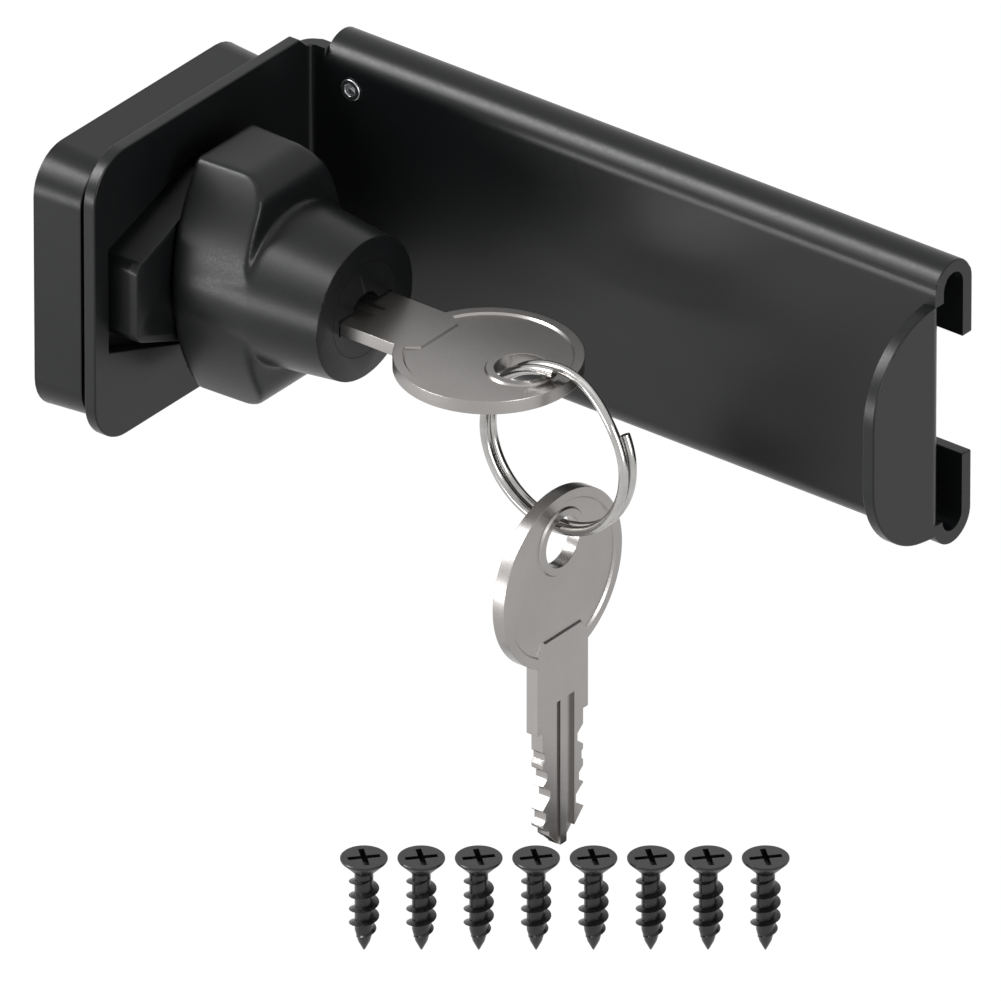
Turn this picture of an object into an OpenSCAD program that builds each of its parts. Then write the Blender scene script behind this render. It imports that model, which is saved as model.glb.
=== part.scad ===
// Hasp latch with a key-locked twist knob. A bent-sheet hasp bar runs on a fixed rail, and its
// slotted leaf slips over the boss of a housing. The knob stands across the slot and holds it.
// X points out through the knob, Y points towards the rail and Z points up.
// The origin is the knob axis on the plane of the housing back. All sizes are millimetres.

/* [Housing] */
// Width of the housing at its back, along Y
housing_w = 40.8; // [36:0.1:50]
// Height of the housing at its back, along Z
housing_h = 36; // [32:0.1:46]
// Depth of the housing from its back to its front face
housing_d = 6.9; // [6:0.1:12]
// Radius of the four upright corners of the housing
housing_corner = 5.5; // [2:0.1:8]
// How much each side leans in from the back to the front
housing_draft = 0.5; // [0.1:0.05:1.5]
// Thickness of the housing walls
housing_wall = 1.8; // [1.2:0.1:3]
// Distance between the fixing holes along Y
fix_pitch_y = 30; // [28:0.1:40]
// Distance between the fixing holes along Z
fix_pitch_z = 25; // [24:0.1:34]
// Radius of every fixing hole, in the housing and in the rail
fix_hole_r = 1.9; // [1.5:0.05:2.5]
// Radius of the countersinks for the fixing screws
fix_sink_r = 3.2; // [2.6:0.05:4]

/* [Boss] */
// Width of the hexagonal boss over its upright sides
boss_w = 33; // [28:0.1:36]
// Height of the boss over its two peaks
boss_h = 23.4; // [22:0.1:26]
// Height of the upright sides of the boss
boss_side_h = 10.2; // [6:0.1:14]
// Depth of the boss in front of the housing
boss_d = 5.9; // [5:0.1:10]
// Rounding of the boss corners and of its front edge
boss_round = 1.3; // [0.5:0.1:2]

/* [Hasp bar] */
// Thickness of the sheet
sheet_t = 1.7; // [1.2:0.1:2.5]
// Gap between the housing front and the leaf
leaf_gap = 0.7; // [0.3:0.1:1.5]
// Reach of the leaf past the knob axis, away from the rail
leaf_reach = 20.3; // [19:0.1:26]
// Height of the leaf
leaf_h = 39.5; // [36:0.1:44]
// Radius of the two free corners of the leaf
leaf_corner = 6; // [2:0.1:9]
// Clearance between the boss and the slot at the upright sides
slot_gap_y = 1; // [0.4:0.1:1.5]
// Clearance between the boss and the slot at the peaks
slot_gap_z = 1.5; // [0.4:0.1:2]
// Distance from the knob axis to the near face of the web
web_y = 22; // [21.5:0.1:30]
// Distance from the housing back to the far end of the bar
bar_end = 104.4; // [70:0.1:180]
// Half the height of the flat part of the web
web_half = 15.8; // [14:0.1:18]
// Inner radius of the rolled long edges
roll_in = 1.9; // [1.8:0.05:3]
// Half the width of the mouth between the two lips
mouth_half = 8.1; // [6:0.1:10]
// Half the height of the sheet at the leaf bend
bend_half = 18.3; // [16:0.1:19]
// Inner radius of the bend between leaf and web
leaf_bend = 0.8; // [0.4:0.1:1.2]
// Inner radius of the bend between web and finger tab
tab_bend = 0.3; // [0.2:0.1:1]
// How far the finger tab stands out from the web
tab_reach = 12; // [8:0.1:16]
// Height of the finger tab
tab_h = 31.5; // [26:0.1:33]
// How far the middle of the finger tab lies below the knob axis
tab_drop = 1.35; // [0:0.05:1.5]
// Radius of the two free corners of the finger tab
tab_corner = 11.5; // [4:0.1:11.8]

/* [Knob] */
// Half the width of the knob wing at its middle
wing_half_w = 10.4; // [10.2:0.1:12]
// Half the length of the knob wing
wing_half_l = 16; // [14.5:0.1:17]
// Radius of the two curved flanks of the wing
flank_r = 27.6; // [24:0.1:40]
// Thickness of the wing along the knob axis
wing_d = 11; // [9:0.1:14]
// Radius of the front edge at both ends of the wing
wing_end_r = 4; // [1:0.1:6]
// How much each flank leans in over the thickness of the wing
wing_draft = 0.4; // [0.1:0.05:1]
// Radius of the lock barrel where it leaves the wing
barrel_r = 10; // [9.5:0.1:10]
// Radius of the lock barrel at its face
barrel_face_r = 9.3; // [8.6:0.1:9.4]
// Length of the lock barrel in front of the wing
barrel_d = 10.7; // [9:0.1:16]
// Radius of the stem that turns in the housing
stem_r = 7; // [6.6:0.05:7]
// Angle from holding the leaf to letting it go
knob_turn = 90; // [90:1:90]

/* [Lock] */
// Radius of the lock plug
plug_r = 6.2; // [5.8:0.05:6.2]
// Number of wafers
wafer_count = 5; // [3:1:5]
// Distance of the drive pin from the plug axis
throw_r = 2.2; // [1.8:0.05:2.2]
// Radius of the drive pin
throw_pin_r = 0.7; // [0.5:0.05:0.7]

/* [Keys] */
// Radius of the round bow
bow_r = 11.6; // [10:0.1:12]
// Thickness of a key
key_t = 1.8; // [1.4:0.05:1.9]
// Width of the blade
blade_w = 8; // [7:0.1:8]
// Length of the blade from its tip to the shoulder
blade_l = 17; // [15:0.1:17.4]
// Width of the neck between blade and bow
neck_w = 9.9; // [8.5:0.1:10]
// Distance from the shoulder to the middle of the bow
bow_reach = 19.9; // [19:0.1:21]
// Distance from the middle of the bow to the middle of its hole
hole_reach = 5; // [4.6:0.1:5.2]
// Radius of the hole in the bow
bow_hole_r = 3.3; // [3.2:0.05:3.5]
// Mean radius of the split ring
ring_r = 10.6; // [10:0.1:12]
// Radius of the split ring wire
ring_wire_r = 0.62; // [0.45:0.01:0.62]

/* [Rail and screws] */
// Length of the fixed rail inside the hasp bar
rail_l = 78; // [60:0.5:84]
// Distance from the first to the last rail hole
rail_pitch_outer = 60; // [50:0.5:62]
// Distance between the two middle rail holes
rail_pitch_inner = 20; // [14:0.5:26]
// Radius of a screw head
screw_head_r = 2.9; // [2.4:0.05:3.1]
// Length of a screw
screw_l = 13; // [8:0.5:20]
// Number of screws in the loose row
screw_count = 8; // [1:1:12]
// Pitch of the loose row
screw_pitch = 6.94; // [6:0.01:9]

/* [Hidden] */
// Sides of full circles
$fn = 64;
// Sides of circles inside a hull
hull_fn = 32;
// Overlap used where one cut or shape has to pass another
eps = 0.1;
// Thickness of a slice used as the end of a hull
slice = 0.02;
// Running gap of a shaft or pin, on the radius
run_gap = 0.1;
// Small axial gap between neighbouring parts
face_gap = 0.1;
// Gap between the boss front and the back of the wing
wing_gap = 0.3;
// Back of the wing
wing_x = housing_d + boss_d + wing_gap;
// Front of the wing
wing_front = wing_x + wing_d;
// Face of the lock barrel
barrel_face = wing_front + barrel_d;
// Front of the boss
boss_front = housing_d + boss_d;
// Lean of the boss flanks from the Y axis
boss_slope = atan2(boss_h / 2 - boss_side_h / 2, boss_w / 2);
// Middle of a boss corner rounding, along Z
boss_corner_z = boss_side_h / 2 - boss_round * (1 - sin(boss_slope)) / cos(boss_slope);
// Middle of a boss peak rounding, along Z
boss_peak_z = boss_h / 2 - boss_round / cos(boss_slope);
// Inside face of the housing front
cavity_top = housing_d - housing_wall;
// Radius of the hub round the stem
hub_r = 11;
// Back face of the hub
hub_x = 3;
// Radius of a screw post
post_r = 4;
// Thickness of a rib
rib_t = 1.2;
// Bore of the housing for the stem
stem_bore_r = stem_r + run_gap;
// Back end of the stem
stem_x = 2.4;
// Thickness of the retaining washer
washer_t = 1;
// Radius of the retaining washer
washer_r = 9.5;
// Thickness of the thrust washer
thrust_t = 0.5;
// Radius and height of the head of the retaining screw
stay_head_r = 3;
stay_head_t = 1.2;
// Depth of the cross in the head of the retaining screw
stay_cross_d = 0.84;
// Shank radius of the retaining screw and its length in the stem
stay_r = 1.45;
stay_l = 5;
// Clearance round a shank
shank_gap = 0.05;
// Back and front of the lock bolt passage
bolt_x0 = 8.2;
bolt_x1 = 11.3;
// Half the width of the lock bolt
bolt_half_w = 3;
// Depth radius of the bolt pockets in the boss
pocket_r = 9.6;
// Tip and upper end of the lock bolt when drawn in
bolt_tip = 6.3;
bolt_top = 5.4;
// Bevel on the tip of the lock bolt
bolt_bevel = 0.5;
// Radius of the plug tail
tail_r = 3;
// Start of the lock bore
bore_x = 15;
// Lock bore radius
bore_r = plug_r + 0.05;
// Angle of the drive pin at rest
throw_angle = 45;
// Radius at which the detent ball runs
track_r = 8.9;
// Radius of the detent ball
ball_r = 1.1;
// Middle of the detent ball
ball_x = wing_x + 0.4;
// Depth of the detent pocket in the wing
detent_d = 4.9;
// Coil radius and wire radius of the detent spring
coil_r = 1;
coil_wire_r = 0.15;
// Turns of the detent spring
coil_turns = 5;
// Groove of the snap ring behind the wafers
snap_x = 16;
snap_t = 0.8;
snap_in = 5.6;
snap_out = 6.75;
// Gap in the snap ring
snap_mouth = 3;
// First wafer, pitch, thickness, radius and half height of the wafers
wafer_x = 18.6;
wafer_pitch = 2.8;
wafer_t = 1;
wafer_r = 6.1;
wafer_half = 2.8;
// Clearance of a wafer in its slot
wafer_gap = 0.05;
// Outer reach of the wafer channels in the lock bore
wafer_channel = 7.2;
// Key plane
key_z = -0.6;
// Shoulder of the key in the lock
shoulder_x = barrel_face - 1;
// Clearance of the key in its keyway
key_gap = 0.1;
// Width of the face slot for the neck
face_slot_w = neck_w + 0.3;
// Radius of the round recess in the plug face
face_recess_r = 2.8;
// Length of the pointed key tip and half its width at the end
tip_l = 3.4;
tip_half_w = 0.6;
// Room behind the key tip and the shoulder in the keyway
keyway_run = 2;
// Middle of the bow and of its hole
bow_x = shoulder_x + bow_reach;
hole_x = bow_x + hole_reach;
// Rim of the bow and depth of the recessed field
bow_rim = 1.2;
field_d = 0.2;
// Distance of the recessed field's start from the middle of the bow, and its place
field_reach = 6.8;
field_x = bow_x - field_reach;
// Number and height of the points along the inner edge of the field
point_count = 6;
point_h = 1.8;
// Radius of the raised eyelet round the hole and its height
eyelet_r = 3.8;
eyelet_h = 0.12;
// Width, depth and place of the long grooves on the blade
groove_w = 1.3;
groove_d = 0.45;
groove_y = 1.5;
// Run of the grooves past the shoulder
groove_run = 1.4;
// Depths of the cuts along one edge of the blade and along the other
cuts_near = [1.2, 0.6, 1.5, 0.9, 0.4];
cuts_far = [0.5, 1.4, 0.8, 0.3, 1.1];
// Flat and slope of a cut
cut_flat = 1;
cut_slope = 0.8;
// Distance of the ring's middle from the hole: outwards and downwards
ring_out = 5.5;
ring_down = 8.4;
// Middle of the split ring
ring_x = hole_x + ring_out;
ring_z = key_z - ring_down;
// Distance between the middles of the two turns of the ring, halved
ring_half_pitch = 0.68;
// Wire angles of the ring: start, crossing and end
ring_cross_a = 320;
ring_cross_b = 360;
ring_end = 675;
// Angle step and sides of the wire
ring_step = 9;
wire_sides = 10;
coil_step = 30;
coil_sides = 6;
// Hole of the hanging key below the bottom of the ring
hang_drop = 2.1;
// Leaf planes
leaf_x0 = housing_d + leaf_gap;
leaf_x1 = leaf_x0 + sheet_t;
// Middle of the bend between leaf and web
bend_x = leaf_x1 + leaf_bend;
bend_y = web_y - leaf_bend;
// Start of the rolled edges
channel_x = bend_x + 1.2;
// Middle and outer radius of a rolled edge
roll_y = web_y + sheet_t + roll_in;
roll_out = roll_in + sheet_t;
// Near face of the lips
lip_y = roll_y + roll_in;
// Middle of the tab bend
tab_bend_x = bar_end - sheet_t - tab_bend;
tab_bend_y = web_y - tab_bend;
// Upper and lower ends of the tab
tab_top = tab_h / 2 - tab_drop;
tab_low = -tab_h / 2 - tab_drop;
// Seat of the tab in the lower rolled edge
tab_seat = 0.6;
// Set screw: place, radius, tip and socket
set_x = 15.3;
set_z = 13.9;
set_r = 1.45;
set_tip = 0.9;
set_socket = 1.5;
set_socket_d = 1.1;
// Rail: start, head, foot and clearances
rail_x = 14;
rail_gap = 0.3;
rail_head_half = web_half - 0.2;
rail_foot_half = mouth_half - 0.5;
rail_head_y = web_y + sheet_t + rail_gap;
rail_back = lip_y + sheet_t + rail_gap;
rail_head_t = 3.1;
// Depth, inner edge and length of the rebate for the tip of the set screw
rebate_d = 1;
rebate_z = 12.2;
rebate_l = 36;
// Chamfer at the rail ends
rail_chamfer = 1.5;
// Rail holes: middle of the pattern
rail_mid = rail_x + rail_l / 2 - 1;
// Screw shank, tip and head heights
screw_core_r = 1.1;
screw_tip_l = 2.6;
screw_rim_t = 0.35;
screw_cone_t = 1.9;
// Cross recess of a screw
cross_l = 3.1;
cross_w = 0.7;
cross_d = 1.1;
// Loose row: direction, start and height of the head tops
row_dir = [0.788, 0.616];
row_start = [45.43, -13.94];
row_top = -66.2;

// Extrudes a shape drawn in Y and Z along X
module along_x(from, to) {
  translate([from, 0, 0])
    rotate([90, 0, 90])
      linear_extrude(height = to - from)
        children();
}

// Extrudes a shape drawn in X and Z along Y
module along_y(from, to) {
  translate([0, to, 0])
    rotate([90, 0, 0])
      linear_extrude(height = to - from)
        children();
}

// Cylinder or cone on an axis along X
module rod_x(from, to, r, end_r = -1) {
  translate([from, 0, 0])
    rotate([0, 90, 0])
      cylinder(h = to - from, r1 = r, r2 = end_r < 0 ? r : end_r);
}

// Cylinder or cone on an axis along Y
module rod_y(from, to, r, end_r = -1) {
  translate([0, from, 0])
    rotate([-90, 0, 0])
      cylinder(h = to - from, r1 = r, r2 = end_r < 0 ? r : end_r);
}

// Turns a shape drawn in radius and X round the knob axis
module turn_x() {
  rotate([0, 90, 0])
    rotate_extrude()
      children();
}

// Thin slice of the housing outline, pulled in by a margin
module housing_slice(x, margin) {
  r = housing_corner - margin;
  for (y = [-1, 1])
    for (z = [-1, 1])
      translate([x, y * (housing_w / 2 - housing_corner), z * (housing_h / 2 - housing_corner)])
        rotate([0, 90, 0])
          cylinder(h = slice, r = r, $fn = hull_fn);
}

// Outer body of the housing with its draft
module housing_body() {
  hull() {
    housing_slice(0, 0);
    housing_slice(housing_d - slice, housing_draft);
  }
}

// Hollow in the back of the housing
module housing_cavity() {
  hull() {
    housing_slice(-eps, housing_wall);
    housing_slice(cavity_top - slice, housing_wall + housing_draft);
  }
}

// One rounded corner post of the boss
module boss_pin(y, z) {
  translate([housing_d - eps, y, z])
    rotate([0, 90, 0])
      rotate_extrude($fn = hull_fn) {
        square([boss_round, boss_d + eps - boss_round]);
        intersection() {
          translate([0, boss_d + eps - boss_round])
            circle(r = boss_round, $fn = hull_fn);
          square([boss_round, boss_d + eps]);
        }
      }
}

// Hexagonal boss
module boss() {
  hull() {
    for (s = [-1, 1]) {
      boss_pin(0, s * boss_peak_z);
      for (y = [-1, 1])
        boss_pin(y * (boss_w / 2 - boss_round), s * boss_corner_z);
    }
  }
}

// Places children at the four fixing holes of the housing
module at_fixings() {
  for (y = [-1, 1])
    for (z = [-1, 1])
      translate([0, y * fix_pitch_y / 2, z * fix_pitch_z / 2])
        children();
}

// Pocket in the boss wall for the thrown lock bolt, on the side of -Z
module bolt_pocket() {
  half = bolt_half_w + 1.5 * run_gap;
  translate([bolt_x0, -half, -pocket_r])
    cube([bolt_x1 - bolt_x0, 2 * half, pocket_r - stem_bore_r / 2]);
}

// Ribs that carry the hub to the four walls
module housing_ribs() {
  translate([hub_x, -housing_w / 2 + housing_wall / 2, -rib_t / 2])
    cube([cavity_top - hub_x + eps, housing_w - housing_wall, rib_t]);
  translate([hub_x, -rib_t / 2, -housing_h / 2 + housing_wall / 2])
    cube([cavity_top - hub_x + eps, rib_t, housing_h - housing_wall]);
}

// Die-cast housing that is screwed to the fixed side
module base_housing() {
  color("DimGray")
    difference() {
      union() {
        difference() {
          housing_body();
          housing_cavity();
        }
        boss();
        rod_x(hub_x, cavity_top + eps, hub_r);
        housing_ribs();
        at_fixings()
          rod_x(0, cavity_top + eps, post_r);
      }
      rod_x(-eps, boss_front + eps, stem_bore_r);
      at_fixings() {
        rod_x(-eps, housing_d + eps, fix_hole_r);
        rod_x(housing_d - fix_sink_r + fix_hole_r, housing_d + eps, fix_hole_r, fix_sink_r + eps);
      }
      bolt_pocket();
      rotate([-knob_turn, 0, 0])
        bolt_pocket();
      turn_x()
        translate([track_r, ball_x])
          circle(r = ball_r + run_gap);
    }
}

// Fixed T-shaped rail inside the hasp bar
module slide_rail() {
  mouth_y = rail_head_y + rail_head_t;
  color("Silver")
    difference() {
      union() {
        translate([rail_x, rail_head_y, -rail_head_half])
          cube([rail_l, rail_head_t, 2 * rail_head_half]);
        translate([rail_x, mouth_y - eps, -rail_foot_half])
          cube([rail_l, rail_back - mouth_y + eps, 2 * rail_foot_half]);
      }
      for (x = [rail_mid - rail_pitch_outer / 2, rail_mid - rail_pitch_inner / 2,
          rail_mid + rail_pitch_inner / 2, rail_mid + rail_pitch_outer / 2])
        translate([x, 0, 0]) {
          rod_y(rail_head_y - eps, rail_back + eps, fix_hole_r);
          rod_y(rail_head_y - eps, rail_head_y + fix_sink_r - fix_hole_r, fix_sink_r + eps, fix_hole_r);
        }
      translate([rail_x - eps, rail_head_y - eps, rebate_z])
        cube([rebate_l, rebate_d + eps, rail_head_half - rebate_z + eps]);
      for (x = [rail_x, rail_x + rail_l])
        for (z = [-1, 1])
          translate([x, rail_head_y - eps, z * rail_head_half])
            rotate([0, 45, 0])
              translate([-rail_chamfer / 2, 0, -rail_chamfer / 2])
                cube([rail_chamfer, rail_back, rail_chamfer]);
    }
}

// Nylon washer between the hub and the retaining washer
module thrust_washer() {
  color("Ivory")
    difference() {
      rod_x(hub_x - thrust_t, hub_x, washer_r);
      rod_x(hub_x - thrust_t - eps, hub_x + eps, stem_r + 2 * run_gap);
    }
}

// One countersunk screw standing on its head side, head top at Z 0 and tip down
module screw() {
  neck = screw_rim_t + screw_cone_t;
  difference() {
    rotate_extrude()
      polygon([[0, 0], [screw_head_r, 0], [screw_head_r, -screw_rim_t], [screw_core_r, -neck],
        [screw_core_r, screw_tip_l - screw_l], [0, -screw_l]]);
    for (a = [0, 90])
      rotate([0, 0, a])
        translate([-cross_l / 2, -cross_w / 2, -cross_d])
          cube([cross_l, cross_w, cross_d + eps]);
  }
}

// Loose row of identical screws for the housing and the rail
module screws() {
  color("Black")
    for (i = [0:screw_count - 1])
      translate([row_start[0] + row_dir[0] * screw_pitch * i,
        row_start[1] + row_dir[1] * screw_pitch * i, row_top])
        screw();
}

// Outline of the leaf in Y and Z, without its slot
module leaf_outline() {
  top = leaf_h / 2;
  slant = top - bend_half;
  inner = -leaf_reach + leaf_corner;
  polygon([[inner, -top], [bend_y - slant, -top], [bend_y, -bend_half], [bend_y, bend_half],
    [bend_y - slant, top], [inner, top]]);
  translate([-leaf_reach, leaf_corner - top])
    square([leaf_corner + eps, 2 * (top - leaf_corner)]);
  for (s = [-1, 1])
    translate([inner, s * (top - leaf_corner)])
      circle(r = leaf_corner);
}

// Hexagonal slot of the leaf in Y and Z
module leaf_slot() {
  w = boss_w / 2 + slot_gap_y;
  peak = boss_h / 2 + slot_gap_z;
  side = boss_side_h / 2 + slot_gap_z + slot_gap_y / 2;
  polygon([[-w, -side], [0, -peak], [w, -side], [w, side], [0, peak], [-w, side]]);
}

// Quarter bend of the sheet with an upright axis
module sheet_bend(x, y, r, low, high, from) {
  translate([x, y, low])
    rotate([0, 0, from])
      rotate_extrude(angle = 90)
        translate([r, 0])
          square([sheet_t, high - low]);
}

// Section of the rolled channel in Y and Z
module channel_section() {
  translate([web_y, -web_half])
    square([sheet_t, 2 * web_half]);
  for (s = [-1, 1]) {
    intersection() {
      translate([roll_y, s * web_half])
        difference() {
          circle(r = roll_out);
          circle(r = roll_in);
        }
      translate([roll_y - roll_out - eps, s > 0 ? web_half : -web_half - roll_out - eps])
        square([2 * (roll_out + eps), roll_out + eps]);
    }
    translate([lip_y, s > 0 ? mouth_half : -web_half])
      square([sheet_t, web_half - mouth_half]);
  }
}

// Outline of the finger tab in Y and Z
module tab_outline() {
  free = web_y - tab_reach;
  intersection() {
    union() {
      translate([free + tab_corner, tab_low])
        square([tab_reach, tab_h]);
      translate([free, tab_low + tab_corner])
        square([tab_reach, tab_h - 2 * tab_corner]);
      translate([free + tab_corner, tab_low + tab_corner])
        circle(r = tab_corner);
      translate([free + tab_corner, tab_top - tab_corner])
        circle(r = tab_corner);
    }
    translate([free, tab_low])
      square([tab_bend_y - free, tab_h]);
  }
  translate([tab_bend_y - eps, tab_low])
    square([web_y + tab_seat - tab_bend_y + eps, -web_half - tab_low + eps]);
}

// Hasp bar, one bent sheet: slotted leaf, web with rolled edges, finger tab
module hasp_bar() {
  color("DarkSlateGray")
    difference() {
      union() {
        along_x(leaf_x0, leaf_x1)
          difference() {
            leaf_outline();
            leaf_slot();
          }
        sheet_bend(bend_x, bend_y, leaf_bend, -bend_half, bend_half, 90);
        translate([bend_x, web_y, -bend_half])
          cube([channel_x - bend_x, sheet_t, 2 * bend_half]);
        difference() {
          along_x(channel_x, bar_end)
            channel_section();
          translate([tab_bend_x, web_y - eps, -web_half])
            cube([bar_end - tab_bend_x + eps, sheet_t + 2 * eps, web_half + tab_top]);
        }
        sheet_bend(tab_bend_x, tab_bend_y, tab_bend, -web_half, tab_top, 0);
        along_x(bar_end - sheet_t, bar_end)
          tab_outline();
      }
      translate([set_x, 0, set_z])
        rod_y(web_y - eps, web_y + sheet_t + eps, set_r + shank_gap);
    }
}

// Set screw in the web; its tip runs in the rebate of the rail
module set_screw() {
  tip = web_y + sheet_t + set_tip;
  head = web_y - 2 * face_gap;
  color("Black")
    translate([set_x, 0, set_z])
      difference() {
        union() {
          rod_y(head, tip - set_r / 2, set_r);
          rod_y(tip - set_r / 2, tip, set_r, set_r / 2);
        }
        rotate([0, 30, 0])
          translate([0, head - eps, 0])
            rotate([-90, 0, 0])
              cylinder(h = set_socket_d + eps, d = set_socket / cos(30), $fn = 6);
      }
}

// Wing of the knob: two curved flanks, ends rounded to the front
module wing() {
  intersection() {
    translate([0, flank_r - wing_half_w, 0])
      rod_x(wing_x, wing_front, flank_r, flank_r - wing_draft);
    translate([0, wing_half_w - flank_r, 0])
      rod_x(wing_x, wing_front, flank_r, flank_r - wing_draft);
    along_y(-wing_half_w - eps, wing_half_w + eps) {
      translate([wing_x, -wing_half_l])
        square([wing_d - wing_end_r, 2 * wing_half_l]);
      translate([wing_x, wing_end_r - wing_half_l])
        square([wing_d, 2 * (wing_half_l - wing_end_r)]);
      for (s = [-1, 1])
        translate([wing_front - wing_end_r, s * (wing_half_l - wing_end_r)])
          circle(r = wing_end_r);
    }
  }
}

// Lock barrel with a softened face edge
module barrel() {
  soft = 0.8;
  turn_x() {
    polygon([[0, wing_front - eps], [barrel_r, wing_front - eps], [barrel_face_r, barrel_face - soft],
      [barrel_face_r - soft, barrel_face], [0, barrel_face]]);
    translate([barrel_face_r - soft, barrel_face - soft])
      circle(r = soft);
  }
}

// Die-cast knob: wing, lock barrel and stem in one
module knob() {
  color("DimGray")
    difference() {
      union() {
        wing();
        barrel();
        rod_x(stem_x, wing_x + eps, stem_r);
      }
      rod_x(bore_x, barrel_face + eps, bore_r);
      rod_x(bolt_x1 - eps, bore_x + eps, tail_r + shank_gap);
      translate([bolt_x0, -bolt_half_w - run_gap, -stem_r - eps])
        cube([bolt_x1 - bolt_x0, 2 * (bolt_half_w + run_gap), stem_r + bolt_top + 3 * run_gap + eps]);
      rod_x(stem_x - eps, stem_x + stay_l, stay_r + shank_gap);
      rod_x(snap_x - run_gap, snap_x + snap_t + run_gap, snap_out + run_gap);
      translate([wafer_x - 1, -wafer_channel, -wafer_half - run_gap])
        cube([wafer_count * wafer_pitch, 2 * wafer_channel, 2 * (wafer_half + run_gap)]);
      translate([0, 0, track_r])
        rod_x(wing_x - eps, wing_x + detent_d, ball_r + 2 * run_gap);
    }
}

// Washer that holds the stem in the housing
module retaining_washer() {
  color("Silver")
    difference() {
      rod_x(stem_x - washer_t, stem_x, washer_r);
      rod_x(stem_x - washer_t - eps, stem_x + eps, stay_r + run_gap);
    }
}

// Pan-head screw in the end of the stem
module retaining_screw() {
  seat = stem_x - washer_t;
  color("Silver")
    difference() {
      union() {
        rod_x(seat - stay_head_t, seat, stay_head_r - 2 * face_gap, stay_head_r);
        rod_x(seat - eps, stem_x + stay_l - face_gap, stay_r);
      }
      for (a = [0, 90])
        rotate([a, 0, 0])
          translate([seat - stay_head_t - eps, -cross_l / 2, -cross_w / 2])
            cube([stay_cross_d + eps, cross_l, cross_w]);
    }
}

// Steel ball that runs in the round track of the boss
module detent_ball() {
  color("Silver")
    translate([ball_x, 0, track_r])
      sphere(r = ball_r);
}

// Points of a wire section round a middle
function wire_section(middle, out, side, r, sides) =
  [for (k = [0:sides - 1]) middle + r * cos(360 * k / sides) * out + r * sin(360 * k / sides) * side];

// Solid wire through a list of sections
module wire(sections, sides) {
  last = (len(sections) - 1) * sides;
  points = [for (s = sections) each s];
  near = [for (i = [0:sides:last - 1]) for (k = [0:sides - 1])
    [i + (k + 1) % sides, i + k, i + k + sides]];
  far = [for (i = [0:sides:last - 1]) for (k = [0:sides - 1])
    [i + (k + 1) % sides, i + k + sides, i + sides + (k + 1) % sides]];
  start = [[for (k = [0:sides - 1]) k]];
  end = [[for (k = [sides - 1:-1:0]) last + k]];
  polyhedron(points = points, faces = concat(start, near, far, end));
}

// Spring that presses the ball into its track
module detent_spring() {
  low = ball_x + ball_r + coil_wire_r;
  high = wing_x + detent_d - coil_wire_r - face_gap;
  turns = coil_turns * 360;
  color("Silver")
    translate([0, 0, track_r])
      wire([for (a = [0:coil_step:turns])
        wire_section([low + (high - low) * a / turns, coil_r * cos(a), coil_r * sin(a)],
          [0, cos(a), sin(a)], [-1, 0, 0], coil_wire_r, coil_sides)], coil_sides);
}

// Lock plug with keyway, wafer slots, tail and drive pin
module lock_plug() {
  back = bore_x + face_gap;
  color("Gray")
    difference() {
      union() {
        rod_x(back, barrel_face, plug_r);
        rod_x(bolt_x1 + shank_gap, back + eps, tail_r);
        translate([0, throw_r * cos(throw_angle), throw_r * sin(throw_angle)])
          rod_x(bolt_x0 + 4 * face_gap, bolt_x1 + eps, throw_pin_r);
      }
      translate([shoulder_x - blade_l - 3 * face_gap, -blade_w / 2 - key_gap, key_z - key_t / 2 - key_gap])
        cube([blade_l + keyway_run, blade_w + 2 * key_gap, key_t + 2 * key_gap]);
      translate([shoulder_x - face_gap, -face_slot_w / 2, key_z - key_t / 2 - 2 * key_gap])
        cube([barrel_face - shoulder_x + 2 * face_gap, face_slot_w, key_t + 4 * key_gap]);
      translate([0, 0, key_z])
        rod_x(barrel_face - 5 * face_gap, barrel_face + eps, face_recess_r);
      difference() {
        rod_x(snap_x - run_gap, snap_x + snap_t + run_gap, plug_r + eps);
        rod_x(snap_x - 1, snap_x + snap_t + 1, snap_in - run_gap);
      }
      for (i = [0:wafer_count - 1])
        translate([wafer_x + i * wafer_pitch - wafer_gap, -plug_r - eps, -wafer_half - wafer_gap])
          cube([wafer_t + 2 * wafer_gap, 2 * (plug_r + eps), 2 * (wafer_half + wafer_gap)]);
    }
}

// Set of wafers in the plug
module wafers() {
  window_y = blade_w / 2 + 2 * key_gap;
  color("Goldenrod")
    for (i = [0:wafer_count - 1])
      translate([wafer_x + i * wafer_pitch, 0, 0])
        along_x(0, wafer_t)
          difference() {
            intersection() {
              circle(r = wafer_r);
              translate([-wafer_r, -wafer_half])
                square([2 * wafer_r, 2 * wafer_half]);
            }
            translate([-window_y, key_z - key_t / 2 - 2 * key_gap])
              square([2 * window_y, key_t + 4 * key_gap]);
          }
}

// Open snap ring that keeps the plug in the barrel
module plug_clip() {
  color("Silver")
    along_x(snap_x, snap_x + snap_t)
      difference() {
        circle(r = snap_out);
        circle(r = snap_in);
        translate([-snap_mouth / 2, snap_in / 2])
          square([snap_mouth, snap_out]);
      }
}

// Sliding bolt that keys the stem to the housing
module lock_bolt() {
  slot_half = throw_pin_r + 1.2 * run_gap;
  pin_z = throw_r * sin(throw_angle);
  color("Silver")
    along_x(bolt_x0 + face_gap, bolt_x1 - face_gap)
      difference() {
        polygon([[-bolt_half_w, bolt_top], [-bolt_half_w, bolt_bevel - bolt_tip],
          [bolt_bevel - bolt_half_w, -bolt_tip], [bolt_half_w - bolt_bevel, -bolt_tip],
          [bolt_half_w, bolt_bevel - bolt_tip], [bolt_half_w, bolt_top]]);
        translate([throw_r * cos(throw_angle) - throw_pin_r - 2.5 * run_gap, pin_z - slot_half])
          square([bolt_half_w, 2 * slot_half]);
      }
}

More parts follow.
